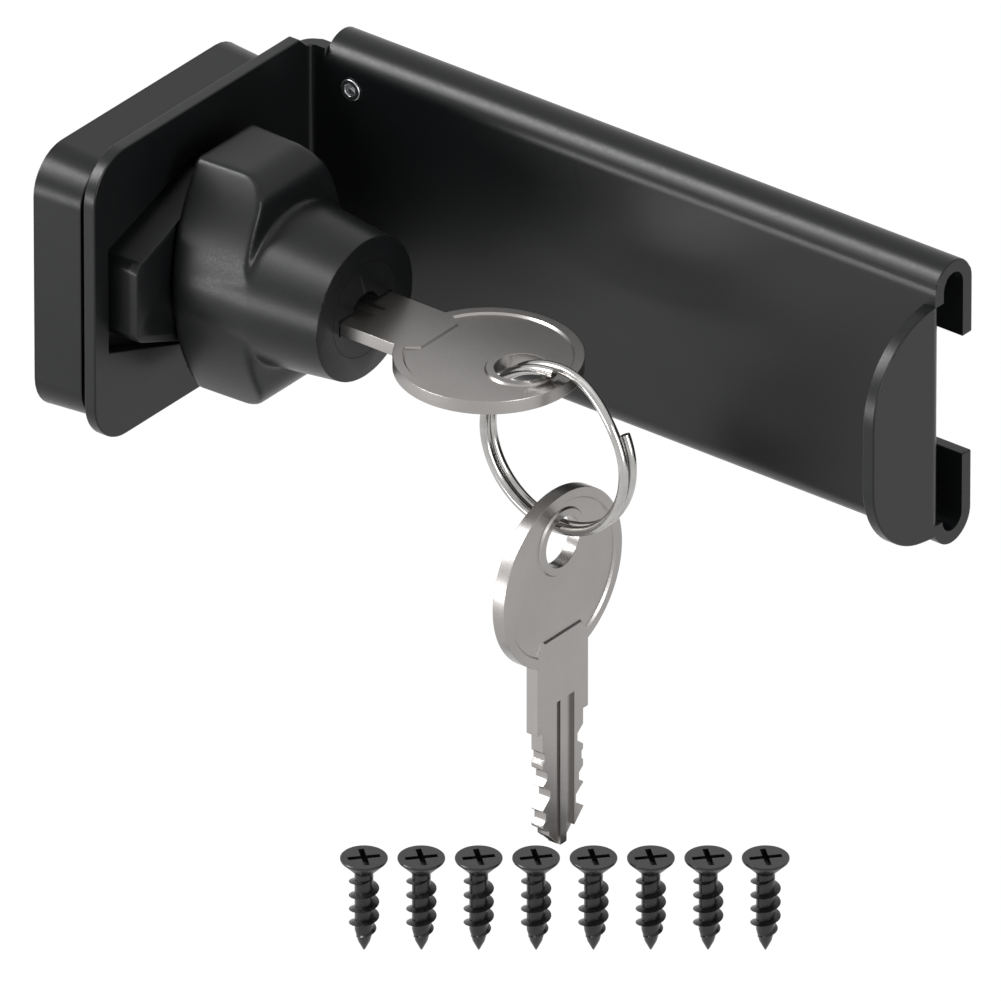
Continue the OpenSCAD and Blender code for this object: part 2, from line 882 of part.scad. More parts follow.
// Outline of a key in X and Y
module key_outline() {
  tip = shoulder_x - blade_l;
  half = blade_w / 2;
  polygon([[tip, -tip_half_w], [tip + tip_l, -half], [shoulder_x + eps, -half], [shoulder_x + eps, half],
    [tip + tip_l, half], [tip, tip_half_w]]);
  translate([shoulder_x, -neck_w / 2])
    square([bow_x - shoulder_x, neck_w]);
  translate([bow_x, 0])
    circle(r = bow_r);
}

// Stepped cuts along one edge of the blade; side is 1 or -1
module key_cuts(depths, side) {
  edge = side * (blade_w / 2 + eps);
  for (i = [0:len(depths) - 1]) {
    x = wafer_x + wafer_t / 2 + i * wafer_pitch;
    floor_y = side * (blade_w / 2 - depths[i]);
    reach = cut_flat / 2 + cut_slope * (depths[i] + eps);
    polygon([[x - reach, edge], [x - cut_flat / 2, floor_y], [x + cut_flat / 2, floor_y], [x + reach, edge]]);
  }
}

// Recessed field of the bow, with points along its inner edge
module bow_field() {
  inner_r = bow_r - bow_rim;
  pitch = 2 * inner_r / point_count;
  difference() {
    translate([bow_x, 0])
      circle(r = inner_r);
    translate([bow_x - bow_r, -bow_r])
      square([field_x - bow_x + bow_r, 2 * bow_r]);
    for (i = [0:point_count - 1])
      polygon([[field_x - eps, i * pitch - inner_r], [field_x + point_h, (i + 0.5) * pitch - inner_r],
        [field_x - eps, (i + 1) * pitch - inner_r]]);
    translate([hole_x, 0])
      circle(r = eyelet_r);
  }
}

// A key lying in the plane of Z 0, tip towards -X
module key_shape() {
  difference() {
    union() {
      translate([0, 0, -key_t / 2])
        linear_extrude(height = key_t)
          difference() {
            key_outline();
            key_cuts(cuts_near, -1);
            key_cuts(cuts_far, 1);
          }
      translate([hole_x, 0, -key_t / 2 - eyelet_h])
        cylinder(h = key_t + 2 * eyelet_h, r = eyelet_r);
    }
    translate([hole_x, 0, -key_t])
      cylinder(h = 2 * key_t, r = bow_hole_r);
    for (s = [-1, 1]) {
      translate([0, 0, s > 0 ? key_t / 2 - field_d : -key_t / 2 - eps])
        linear_extrude(height = field_d + eps)
          bow_field();
      translate([shoulder_x - blade_l - eps, s * groove_y - groove_w / 2,
        s > 0 ? key_t / 2 - groove_d : -key_t / 2 - eps])
        cube([blade_l + groove_run + eps, groove_w, groove_d + eps]);
    }
  }
}

// Key in the lock
module key() {
  color("Silver")
    translate([0, 0, key_z])
      key_shape();
}

// Middle of the ring wire at an angle, with the crossing between the two turns
function ring_side(a) =
  a <= ring_cross_a ? -ring_half_pitch :
  a >= ring_cross_b ? ring_half_pitch :
  -ring_half_pitch * cos(180 * (a - ring_cross_a) / (ring_cross_b - ring_cross_a));

// Split ring of two turns
module split_ring() {
  color("Silver")
    translate([ring_x, 0, ring_z])
      wire([for (a = [0:ring_step:ring_end])
        wire_section([ring_r * cos(a), ring_side(a), ring_r * sin(a)],
          [cos(a), 0, sin(a)], [0, 1, 0], ring_wire_r, wire_sides)], wire_sides);
}

// Second key, hanging from the ring with its tip down
module spare_key() {
  color("Silver")
    translate([ring_x, 0, ring_z - ring_r - hang_drop - hole_x])
      rotate([0, -90, 0])
        key_shape();
}

base_housing();
slide_rail();
thrust_washer();
screws();
hasp_bar();
set_screw();
knob();
retaining_washer();
retaining_screw();
detent_ball();
detent_spring();
lock_plug();
wafers();
plug_clip();
lock_bolt();
key();
split_ring();
spare_key();
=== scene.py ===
# %% [markdown]
# A hasp latch with a twist knob. The construction model gives every piece its size and place,
# so it is loaded first as a fixed frame. Blender then adds what the construction model leaves
# plain: softened edges, threads, fine wire and the finishes. Lengths are written in millimetres
# and multiplied by MM, because Blender works in metres.

# %% Load the frame
import bpy
import math
from mathutils import Matrix, Vector


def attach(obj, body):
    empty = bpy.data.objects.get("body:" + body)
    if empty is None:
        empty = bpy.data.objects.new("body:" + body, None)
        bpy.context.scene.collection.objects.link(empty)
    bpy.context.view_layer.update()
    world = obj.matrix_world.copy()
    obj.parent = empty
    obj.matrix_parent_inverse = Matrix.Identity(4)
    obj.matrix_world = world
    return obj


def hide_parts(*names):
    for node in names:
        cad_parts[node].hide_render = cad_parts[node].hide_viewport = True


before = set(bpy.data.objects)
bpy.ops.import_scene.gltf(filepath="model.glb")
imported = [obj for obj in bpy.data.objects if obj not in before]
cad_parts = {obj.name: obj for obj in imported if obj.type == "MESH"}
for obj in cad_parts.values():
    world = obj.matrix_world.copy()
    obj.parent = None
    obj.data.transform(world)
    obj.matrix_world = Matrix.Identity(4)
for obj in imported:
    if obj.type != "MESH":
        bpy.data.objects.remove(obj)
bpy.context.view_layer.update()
MM = 0.001

# %% [markdown]
# An operator acts on everything that is selected, so each step starts by deselecting all.
# A copy of a construction piece has loose triangles. Merging them and dissolving flat ones
# gives whole faces whose edges can then be bevelled as on the real part. Which edges are
# bevelled is told by a weight on each edge, so that a corner without room can be spared.

# %% Helpers for pieces
def only(obj):
    """Selects this object alone."""
    bpy.ops.object.select_all(action="DESELECT")
    obj.select_set(True)
    bpy.context.view_layer.objects.active = obj


def copy_of(node, name, weld_mm=0.002, flat_deg=0.4):
    """A copy of a construction piece, with its triangles merged into whole faces."""
    obj = bpy.data.objects.new(name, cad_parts[node].data.copy())
    bpy.context.collection.objects.link(obj)
    only(obj)
    bpy.ops.object.mode_set(mode="EDIT")
    bpy.ops.mesh.select_all(action="SELECT")
    bpy.ops.mesh.remove_doubles(threshold=weld_mm * MM)
    bpy.ops.mesh.dissolve_limited(angle_limit=math.radians(flat_deg))
    bpy.ops.object.mode_set(mode="OBJECT")
    obj.data.materials.clear()
    return obj


def apply(obj, kind, **settings):
    """Adds a modifier with its settings and applies it."""
    only(obj)
    mod = obj.modifiers.new(kind.lower(), kind)
    for key, value in settings.items():
        setattr(mod, key, value)
    bpy.ops.object.modifier_apply(modifier=mod.name)


def shade(obj, crease_deg=32):
    """Shades smooth, and keeps edges crisp that turn more than the given angle."""
    only(obj)
    bpy.ops.object.shade_smooth_by_angle(angle=math.radians(crease_deg))


def bevel_weighted(obj, width_mm, segments, wanted):
    """Bevels each edge that is wanted, asked by the edge and its two ends in mm."""
    weight = obj.data.attributes.new("bevel_weight_edge", "FLOAT", "EDGE")
    for i, edge in enumerate(obj.data.edges):
        if wanted(edge, [obj.data.vertices[v].co / MM for v in edge.vertices]):
            weight.data[i].value = 1.0
    apply(obj, "BEVEL", width=width_mm * MM, segments=segments, limit_method="WEIGHT",
          use_clamp_overlap=False)


def soften(obj, width_mm, segments=2, sharp_deg=35, spare=()):
    """Rounds the sharp edges, apart from those that touch a spared box, given in mm."""
    normals_at = {}
    for face in obj.data.polygons:
        for key in face.edge_keys:
            normals_at.setdefault(key, []).append(face.normal)

    def sharp(edge, ends):
        normals = normals_at.get(tuple(sorted(edge.vertices)), [])
        spared = any(all(low[k] <= end[k] <= high[k] for k in range(3))
                     for low, high in spare for end in ends)
        return (len(normals) == 2 and not spared
                and normals[0].angle(normals[1], 0) > math.radians(sharp_deg))

    bevel_weighted(obj, width_mm, segments, sharp)
    shade(obj)
    apply(obj, "WEIGHTED_NORMAL", keep_sharp=True)


def finish_piece(obj, material, body, slot, *nodes):
    """Gives a piece its finish, the body that it rides on and the nodes that it replaces."""
    obj.data.materials.clear()
    obj.data.materials.append(material)
    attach(obj, body)
    if nodes:
        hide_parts(*nodes)
    print(obj.name, len(obj.data.polygons), "faces")


# %% [markdown]
# Every finish is a small node tree. Patterns are read from Object coordinates, so their scale
# is real: a pattern of 0.4 mm has a noise scale of 1 / 0.0004. Colours are written as hex
# values and turned into the linear values that the shader wants. Each finish has faint patches
# between two near colours, and a fine grain that stirs both its gloss and its height.

# %% Helpers for finishes
def colour(hex_text):
    """The linear colour of an sRGB hex value."""
    parts = [int(hex_text[i:i + 2], 16) / 255 for i in (1, 3, 5)]
    return tuple(p / 12.92 if p <= 0.04045 else ((p + 0.055) / 1.055) ** 2.4 for p in parts) + (1,)


def add_node(tree, kind, links=(), **values):
    """Adds a node with its settings, and links sockets to its inputs by name or number."""
    node = tree.nodes.new(kind)
    for key, value in values.items():
        if key in node.inputs:
            node.inputs[key].default_value = value
        else:
            setattr(node, key, value)
    for key, source in dict(links).items():
        tree.links.new(source, node.inputs[key])
    return node


def noise_of(tree, size_mm, detail):
    """Noise of a real size on the piece."""
    place = add_node(tree, "ShaderNodeTexCoord").outputs["Object"]
    noise = add_node(tree, "ShaderNodeTexNoise", {"Vector": place},
                     Scale=1 / (size_mm * MM), Detail=detail)
    return noise.outputs["Fac"]


def finish_of(name, dark, light, rough, grain_mm, height_mm, patch_mm, metallic=0.0, specular=0.5):
    """A finish from two colours, the least and most roughness, and the sizes of its patterns."""
    mat = bpy.data.materials.new(name)
    mat.use_nodes = True
    tree = mat.node_tree
    shader = tree.nodes["Principled BSDF"]
    shader.inputs["Metallic"].default_value = metallic
    shader.inputs["Specular IOR Level"].default_value = specular
    ramp = add_node(tree, "ShaderNodeValToRGB", {"Fac": noise_of(tree, patch_mm, 3.0)})
    for stop, place, hex_text in zip(ramp.color_ramp.elements, (0.35, 0.65), (dark, light)):
        stop.position = place
        stop.color = colour(hex_text)
    grain = noise_of(tree, grain_mm, 2.0)
    limits = {"From Min": 0.3, "From Max": 0.7, "To Min": rough[0], "To Max": rough[1]}
    spread = add_node(tree, "ShaderNodeMapRange", {"Value": grain}, **limits)
    bump = add_node(tree, "ShaderNodeBump", {"Height": grain}, Strength=0.6, Distance=height_mm * MM)
    tree.links.new(ramp.outputs["Color"], shader.inputs["Base Color"])
    tree.links.new(spread.outputs["Result"], shader.inputs["Roughness"])
    tree.links.new(bump.outputs["Normal"], shader.inputs["Normal"])
    return mat


# %% [markdown]
# The bar is steel sheet under a satin black powder coat. The powder melts into a skin with a
# very fine orange peel, so its gloss is even and soft. Castings are painted: a little smoother.
# The screws are black oxide, which is thin and leaves some of the metal's own shine.

# %% Black finishes
powder_coat = finish_of("Satin black powder coat on bent steel sheet", "#0b0c0d", "#0e0f10",
                        (0.30, 0.37), 0.35, 0.003, 14, specular=0.29)
cast_paint = finish_of("Satin black paint on zinc die casting", "#0b0c0d", "#0f1011",
                       (0.30, 0.38), 0.3, 0.003, 9, specular=0.28)
black_oxide = finish_of("Black oxide on cold-headed steel screws", "#0b0b0c", "#131213",
                        (0.24, 0.34), 0.3, 0.002, 1.2, metallic=0.1)
print("black finishes", powder_coat.name, cast_paint.name, black_oxide.name)

# %% [markdown]
# Keys are pressed from nickel-silver strip, tumbled and nickel plated, which leaves a satin
# skin. The wire of the ring is drawn and bright. The inner steel pieces are zinc plated. All
# of them are metal, so their colour is the colour of their reflections.

# %% Bright finishes
key_nickel = finish_of("Satin nickel plate on pressed and tumbled key blanks", "#979492", "#9d9a98",
                       (0.27, 0.34), 0.12, 0.0012, 9, metallic=1.0)
wire_nickel = finish_of("Bright nickel plate on drawn spring wire", "#a3a19f", "#b6b5b3",
                        (0.13, 0.2), 0.4, 0.001, 3, metallic=1.0)
zinc_plate = finish_of("Bright zinc plate on turned and stamped steel", "#aab0b5", "#bcc1c6",
                       (0.28, 0.4), 0.3, 0.002, 4, metallic=1.0)
spring_steel = finish_of("Polished spring and ball steel", "#b4b5b6", "#c6c7c8",
                         (0.14, 0.24), 0.2, 0.001, 2, metallic=1.0)
wafer_brass = finish_of("Stamped brass of the lock wafers", "#b08a3e", "#c9a052",
                        (0.28, 0.4), 0.2, 0.002, 2, metallic=1.0)
burnished = finish_of("Burnished dark steel of the set screw", "#a3a4a6", "#b6b7b9",
                      (0.25, 0.35), 0.2, 0.001, 1, metallic=1.0)
washer_nylon = finish_of("Moulded natural nylon", "#ddd8c8", "#e8e4d6",
                         (0.45, 0.6), 0.4, 0.002, 5)
print("finishes", len(bpy.data.materials))

# %% [markdown]
# The hasp bar is one sheet. The copy keeps its bends, rolled edges and slot. The laser-cut rim
# of a coated sheet is never sharp, so all its edges get a small round that catches the light.
# Where a bend ends in a corner there is no room for the round, so those corners are spared.
# The set screw is bright on its cut edges, so it gets the same round and a steel finish.

# %% Hasp bar and set screw
leaf_bend_ends = [((9.6, 20.5, -25), (12.2, 30, -14.5)), ((9.6, 20.5, 14.5), (12.2, 30, 25))]
tab_bend_ends = [((101.5, 21.2, -21), (106, 31, -8.5)), ((101.5, 21.2, 13.5), (106, 31, 17))]
bar = copy_of("hasp_bar", "hasp_sheet")
soften(bar, 0.2, 3, spare=leaf_bend_ends + tab_bend_ends)
finish_piece(bar, powder_coat, "hasp", "black_sheet", "hasp_bar")
grub = copy_of("set_screw", "socket_set_screw")
soften(grub, 0.17, 3)
finish_piece(grub, burnished, "hasp", "black_screw", "set_screw")

# %% [markdown]
# Round and square tools for cutting and joining are made as primitives at their real place.
# A boolean with the exact solver then joins them to a piece or takes them out of it.

# %% Cutting and joining tools
def settled(name):
    """The new primitive, named, with its place and turn moved into its mesh."""
    obj = bpy.context.object
    obj.name = name
    bpy.ops.object.transform_apply(location=True, rotation=True, scale=True)
    return obj


def cone_x(name, x0, x1, r0, r1, y=0, z=0, sides=128):
    """A round body along X, from one radius to the other."""
    bpy.ops.object.select_all(action="DESELECT")
    bpy.ops.mesh.primitive_cone_add(
        vertices=sides, radius1=r0 * MM, radius2=r1 * MM, depth=(x1 - x0) * MM,
        location=((x0 + x1) / 2 * MM, y * MM, z * MM), rotation=(0, math.pi / 2, 0))
    return settled(name)


def block(name, low, high):
    """A box from its low corner to its high one."""
    bpy.ops.object.select_all(action="DESELECT")
    bpy.ops.mesh.primitive_cube_add(size=1)
    obj = bpy.context.object
    obj.scale = [(b - a) * MM for a, b in zip(low, high)]
    obj.location = [(a + b) / 2 * MM for a, b in zip(low, high)]
    return settled(name)


def combine(obj, other, operation):
    """Joins, cuts or intersects a piece with a tool, which is used up."""
    apply(obj, "BOOLEAN", object=other, operation=operation, solver="EXACT")
    bpy.data.objects.remove(other)


def face_out(obj):
    """Turns all faces outwards, after a shape was mirrored by hand."""
    only(obj)
    bpy.ops.object.mode_set(mode="EDIT")
    bpy.ops.mesh.select_all(action="SELECT")
    bpy.ops.mesh.normals_make_consistent(inside=False)
    bpy.ops.object.mode_set(mode="OBJECT")


def bevel_now(obj, width_mm, segments, wanted):
    """Bevels in edit mode the edges that are wanted, asked by their two ends in mm."""
    only(obj)
    bpy.ops.object.mode_set(mode="EDIT")
    bpy.ops.mesh.select_mode(type="EDGE")
    bpy.ops.mesh.select_all(action="DESELECT")
    bpy.ops.object.mode_set(mode="OBJECT")
    for edge in obj.data.edges:
        edge.select = wanted(*(obj.data.vertices[i].co / MM for i in edge.vertices))
    bpy.ops.object.mode_set(mode="EDIT")
    bpy.ops.mesh.bevel(offset=width_mm * MM, segments=segments)
    bpy.ops.object.mode_set(mode="OBJECT")


# %% [markdown]
# The housing is die cast, with soft corners where the metal met the mould. Its boss has soft
# upright corners too, but a crisp front edge, because the mould parts there. So the boss is
# made apart: a block, split at its middle and pulled out to a hexagon, with the edges along X
# bevelled. After it is joined to the casting, the bore and the two pockets for the bolt are cut.

# %% Housing and boss
boss_back, boss_front, boss_half_w = 5.5, 12.8, 16.5
boss_side_z, boss_peak_z, boss_corner_r = 5.1, 11.7, 1.1
bolt_back, bolt_front = 8.2, 11.3
pocket_half, pocket_in, pocket_out = 3.15, 3, 9.6

housing = copy_of("base_housing", "housing_casting")
soften(housing, 0.22, 2)
boss = block("boss", (boss_back, -boss_half_w, -boss_side_z), (boss_front, boss_half_w, boss_side_z))
only(boss)
bpy.ops.object.mode_set(mode="EDIT")
bpy.ops.mesh.select_all(action="SELECT")
bpy.ops.mesh.bisect(plane_co=(0, 0, 0), plane_no=(0, 1, 0))
bpy.ops.object.mode_set(mode="OBJECT")
for v in boss.data.vertices:
    if abs(v.co.y) < 0.001 * MM:
        v.co.z *= boss_peak_z / boss_side_z
bevel_now(boss, boss_corner_r, 8, lambda a, b: abs(a.x - b.x) > 5)
soften(boss, 0.16, 2, 60)
combine(housing, boss, "UNION")
combine(housing, cone_x("bore", -1, 14, 7.1, 7.1), "DIFFERENCE")
pockets = (((bolt_back, -pocket_half, -pocket_out), (bolt_front, pocket_half, -pocket_in)),
           ((bolt_back, -pocket_out, -pocket_half), (bolt_front, -pocket_in, pocket_half)))
for low, high in pockets:
    combine(housing, block("pocket", low, high), "DIFFERENCE")
print("housing with boss", len(housing.data.polygons), "faces")

# %% [markdown]
# The ball of the detent runs in a round track on the front of the boss. On the real part a
# ball-nosed cutter leaves a ring-shaped groove, and a torus cuts the same one.

# %% Ball track
track_r, track_x, track_groove_r = 8.9, 13.5, 1.2
bpy.ops.object.select_all(action="DESELECT")
bpy.ops.mesh.primitive_torus_add(
    major_radius=track_r * MM, minor_radius=track_groove_r * MM, major_segments=96,
    minor_segments=24, location=(track_x * MM, 0, 0), rotation=(0, math.pi / 2, 0))
combine(housing, settled("ball_track"), "DIFFERENCE")
shade(housing)
finish_piece(housing, cast_paint, "base", "black_cast", "base_housing")

# %% [markdown]
# The knob is the most rounded piece. It could be bevelled edge by edge, but its round barrel
# grows out of two curved flanks, and a bevel there has no room. So the outer form is built
# from cones, made one skin by a voxel remesh, and that skin is smoothed, as polishing does.
# The bores are cut afterwards, so that they stay crisp.

# %% Knob, outer form
flank_r, flank_draft, half_w, half_l, end_round = 27.6, 0.4, 10.4, 16.0, 4.0
back_x, front_x, face_x = 13.1, 24.1, 34.8
barrel_r, barrel_waist_r, barrel_end_r, barrel_extra = 10.5, 10.45, 9.02, 2.5

knob = cone_x("twist_knob", back_x, front_x, flank_r, flank_r - flank_draft,
              y=flank_r - half_w, sides=512)
flank = cone_x("flank", back_x, front_x, flank_r, flank_r - flank_draft,
               y=half_w - flank_r, sides=512)
combine(knob, flank, "INTERSECT")
ends = block("ends", (back_x - 1, -12, -half_l), (front_x, 12, half_l))
bevel_now(ends, end_round, 16, lambda a, b: min(a.x, b.x) > front_x - 0.1 and abs(a.z - b.z) < 0.001)
combine(knob, ends, "INTERSECT")
combine(knob, cone_x("barrel_root", back_x + 0.6, front_x + 0.5, barrel_r, barrel_waist_r), "UNION")
combine(knob, cone_x("barrel", front_x, face_x + barrel_extra, barrel_r, barrel_end_r), "UNION")
apply(knob, "REMESH", mode="VOXEL", voxel_size=0.26 * MM, adaptivity=0)
apply(knob, "SMOOTH", factor=0.5, iterations=22)
print("knob skin", len(knob.data.polygons), "faces")

# %% [markdown]
# The smoothing pulls the skin in a little, so it is scaled back to the size of the casting.
# Then the barrel's face is cut flat, the stem is joined on, and every bore is cut to the size
# of the construction model: for the lock, its clip and tail, the bolt, the screw and the ball.

# %% Knob, stem and bores
low = Vector((min(v.co[i] for v in knob.data.vertices) for i in range(3)))
high = Vector((max(v.co[i] for v in knob.data.vertices) for i in range(3)))
goal_low = Vector((back_x, -barrel_r, -half_l)) * MM
goal_high = Vector((face_x + barrel_extra, barrel_r, half_l)) * MM
for v in knob.data.vertices:
    for i in range(3):
        t = (v.co[i] - low[i]) / (high[i] - low[i])
        v.co[i] = goal_low[i] + t * (goal_high[i] - goal_low[i])
combine(knob, block("face_cut", (face_x, -15, -15), (45, 15, 15)), "DIFFERENCE")
combine(knob, cone_x("stem", 2.4, back_x + 2, 7.0, 7.0), "UNION")
combine(knob, cone_x("lock_bore", 15.0, 36.0, 6.25, 6.25), "DIFFERENCE")
combine(knob, cone_x("clip_room", 15.9, 16.9, 6.85, 6.85), "DIFFERENCE")
combine(knob, cone_x("tail_bore", 11.2, 16.0, 3.05, 3.05, sides=64), "DIFFERENCE")
combine(knob, block("bolt_way", (bolt_back, -3.1, -8.0), (bolt_front, 3.1, 5.7)), "DIFFERENCE")
combine(knob, cone_x("stay_hole", 1.0, 7.4, 1.5, 1.5, sides=48), "DIFFERENCE")
combine(knob, cone_x("detent_hole", 12.0, 18.0, 1.3, 1.3, z=track_r, sides=48), "DIFFERENCE")
print("knob with bores", len(knob.data.polygons), "faces")

# %% [markdown]
# The rim of the barrel's face is only just broken. Its edge is found by its place, because the
# cut through the smoothed skin has hundreds of short edges.

# %% Knob, rim
rim_r, rim_reach = 9.25, 0.4


def on_rim(edge, ends):
    return all(abs(e.x - face_x) < 0.01 and abs(math.hypot(e.y, e.z) - rim_r) < rim_reach for e in ends)


bevel_weighted(knob, 0.14, 2, on_rim)
shade(knob, 40)
finish_piece(knob, cast_paint, "knob_body", "black_cast", "knob")

# %% [markdown]
# The plug turns inside the barrel. Its face has a shallow round recess about the key slot,
# which is cut here. The rest keeps its form and its edges, so that it fits the key.

# %% Lock plug
key_z = -0.6
plug = copy_of("lock_plug", "lock_face_plug")
combine(plug, cone_x("face_recess", 33.2, 36, 2.8, 2.8, z=key_z, sides=64), "DIFFERENCE")
shade(plug)
finish_piece(plug, cast_paint, "plug", "black_cast", "lock_plug")

# %% [markdown]
# A key blank is stamped from strip: a round bow, a neck and a straight blade with a blunt
# point. It could be traced as an outline, but a disc joined to two blocks is the same shape and
# keeps each size readable. One key is made, flat about its middle, and copied later.

# %% Key blank
bow_x, hole_x, shoulder, half_t = 53.7, 58.7, 33.8, 0.9
bow_r, neck_half, blade_half, blade_tip = 11.6, 4.95, 4, 16.8
tip_front, tip_back = (15, -1.2), (20.2, 4.0)
through = 2


def disc(name, x, r, low, high, sides=96):
    """A flat round body across the key, from one height to the other."""
    bpy.ops.object.select_all(action="DESELECT")
    bpy.ops.mesh.primitive_cylinder_add(vertices=sides, radius=r * MM, depth=(high - low) * MM,
                                        location=(x * MM, 0, (low + high) / 2 * MM))
    return settled(name)


blank = disc("key_blank", bow_x, bow_r, -half_t, half_t, 128)
neck = block("neck", (shoulder, -neck_half, -half_t), (bow_x, neck_half, half_t))
combine(blank, neck, "UNION")
blade = block("blade", (blade_tip, -blade_half, -half_t), (shoulder + 1, blade_half, half_t))
combine(blank, blade, "UNION")
for side in (-1, 1):
    corner = block("tip_cut", (tip_front[0], 0.6, -through), (tip_back[0], 9, through))
    for v in corner.data.vertices:
        if v.co.y < 1 * MM:
            v.co.y = (tip_back if v.co.x > 18 * MM else tip_front)[1] * MM
        v.co.y *= side
    face_out(corner)
    combine(blank, corner, "DIFFERENCE")
print("blank", len(blank.data.polygons), "faces")

# %% [markdown]
# A cutter takes the notches out of both edges of the blade. Each has a flat floor and sloping
# sides, so that a wafer can ride up. The hole is punched, and then tumbling rounds all edges:
# a fine bevel with two segments gives the bright line along every edge and cut.

# %% Key notches and hole
first_cut, cut_pitch = 19.1, 2.8
near_cuts = (1.2, 0.6, 1.5, 0.9, 0.4)
far_cuts = (0.5, 1.4, 0.8, 0.3, 1.1)
floor_half, notch_slope, beyond = 0.5, 0.8, 0.6
tip_corner = ((15, 0.5, -2), (20.9, 5, 2))


def wedge(x, depth, side):
    """A cutter for one notch: flat at its floor, with sloping sides, on one edge of the blade."""
    cut = block("notch", (x - floor_half, blade_half - depth, -through),
                (x + floor_half, blade_half + beyond, through))
    for v in cut.data.vertices:
        if v.co.y > (blade_half + beyond / 2) * MM:
            v.co.x += math.copysign(notch_slope * (depth + beyond) * MM, v.co.x - x * MM)
        v.co.y *= side
    face_out(cut)
    return cut


for i, (near, far) in enumerate(zip(near_cuts, far_cuts)):
    x = first_cut + cut_pitch * i
    combine(blank, wedge(x, near, -1), "DIFFERENCE")
    combine(blank, wedge(x, far, 1), "DIFFERENCE")
combine(blank, disc("hole", hole_x, 3.3, -through, through, 64), "DIFFERENCE")
soften(blank, 0.11, 2, 30, spare=[tip_corner])
print("cut key", len(blank.data.polygons), "faces")

# %% [markdown]
# Both faces of the bow have a sunk field with a sloping wall. It leaves a round collar about
# the hole and ends at a pointed plateau, where the blade's full thickness begins. The field is
# made as one tool, with collar and plateau taken out of it, and then sunk into the key. Two
# grooves run along each face of the blade. The normals are weighted again at the end, because
# the cuts spoil those of the flat faces.

# %% Key field and grooves
eyelet_r, field_r, field_d, wall_run, over, seam = 4.2, 10.45, 0.26, 0.3, 0.06, 0.02
plateau_back, plateau_front, plateau_half, point_half = 44.5, 46.0, 4.8, 3.5
grooves, groove_d, groove_run = ((-1.45, 1.5), (0.9, 0.7)), 0.45, 3.2


def flare(obj, x, r, z, more):
    """Widens the end of a disc at height z by that much, so that its wall slopes."""
    for v in obj.data.vertices:
        if abs(v.co.z - z * MM) < 0.001 * MM:
            v.co.x = x * MM + (v.co.x - x * MM) * (r + more) / r
            v.co.y *= (r + more) / r
    return obj


for side in (-1, 1):
    floor_z = side * (half_t - field_d)
    low, high = sorted((floor_z, side * (half_t + over)))
    field = flare(disc("bow_field", bow_x, field_r, low, high), bow_x, field_r, floor_z, -wall_run)
    plateau = block("plateau", (plateau_back, -plateau_half, low - seam),
                    (plateau_front, plateau_half, high + seam))
    for v in plateau.data.vertices:
        if v.co.x > 45 * MM:
            v.co.y *= point_half / plateau_half
            if abs(v.co.z - floor_z * MM) < 0.1 * MM:
                v.co.x += wall_run * MM
                v.co.y += math.copysign(0.5 * wall_run * MM, v.co.y)
    root = block("plateau_root", (40, -plateau_half, low - 1), (plateau_back, plateau_half, high + 1))
    combine(field, plateau, "DIFFERENCE")
    combine(field, root, "DIFFERENCE")
    eyelet = disc("keep_eyelet", hole_x, eyelet_r, low - seam, high + seam, 64)
    combine(field, flare(eyelet, hole_x, eyelet_r, floor_z - side * seam, wall_run), "DIFFERENCE")
    combine(blank, field, "DIFFERENCE")
    low, high = sorted((side * (half_t - groove_d), side * through))
    for y, w in grooves:
        y *= side
        cut = block("groove", (12, y - w / 2, low), (shoulder + groove_run, y + w / 2, high))
        combine(blank, cut, "DIFFERENCE")
only(blank)
bpy.ops.mesh.customdata_custom_splitnormals_clear()
shade(blank, 30)
apply(blank, "WEIGHTED_NORMAL", keep_sharp=True)
print("key", len(blank.data.polygons), "faces")

# %% [markdown]
# Both keys come from the same blank and have the same cuts, as a lock is sold with two equal
# keys. One copy lies flat in the lock. The other is turned to hang from the ring, with its hole
# round the wire.

# %% Two keys
ring_x, hang_z = 64.2, -21.7
hanging = Matrix.Rotation(math.radians(-90), 4, "Y")
places = {
    "key": ("key_in_lock", "key_body", Matrix.Translation(Vector((0, 0, key_z)) * MM)),
    "spare_key": ("key_hanging", "spare",
                  Matrix.Translation(Vector((ring_x, 0, hang_z - hole_x)) * MM) @ hanging)}
for node, (name, body, place) in places.items():
    key = bpy.data.objects.new(name, blank.data.copy())
    bpy.context.collection.objects.link(key)
    key.data.transform(place)
    finish_piece(key, key_nickel, body, "nickel_key", node)
bpy.data.objects.remove(blank)

# %% [markdown]
# The split ring is one wire in two turns. Its route is a circle that steps sideways where one
# turn crosses to the other, and its last stretch springs open a little, so that a nail gets
# under it. A curve with a round bevel draws it, and is then made a mesh.

# %% Split ring
ring_r, wire_r, side_step = 10.6, 0.62, 0.68
ring_middle = Vector((ring_x, 0, -9.0))
cross_from, cross_to = 297, 360
spring_from, wire_end, spring_open = 600, 657, 0.35
step_deg = 3.0


def ring_point(deg):
    """A place on the route: it starts at the top and crosses over late in its first turn."""
    if deg <= cross_from:
        side = -side_step
    elif deg >= cross_to:
        side = side_step
    else:
        side = -side_step * math.cos(math.pi * (deg - cross_from) / (cross_to - cross_from))
    out = ring_r + spring_open * max(0.0, (deg - spring_from) / (wire_end - spring_from))
    a = math.radians(deg + 90)
    return (ring_middle + Vector((out * math.cos(a), side, out * math.sin(a)))) * MM


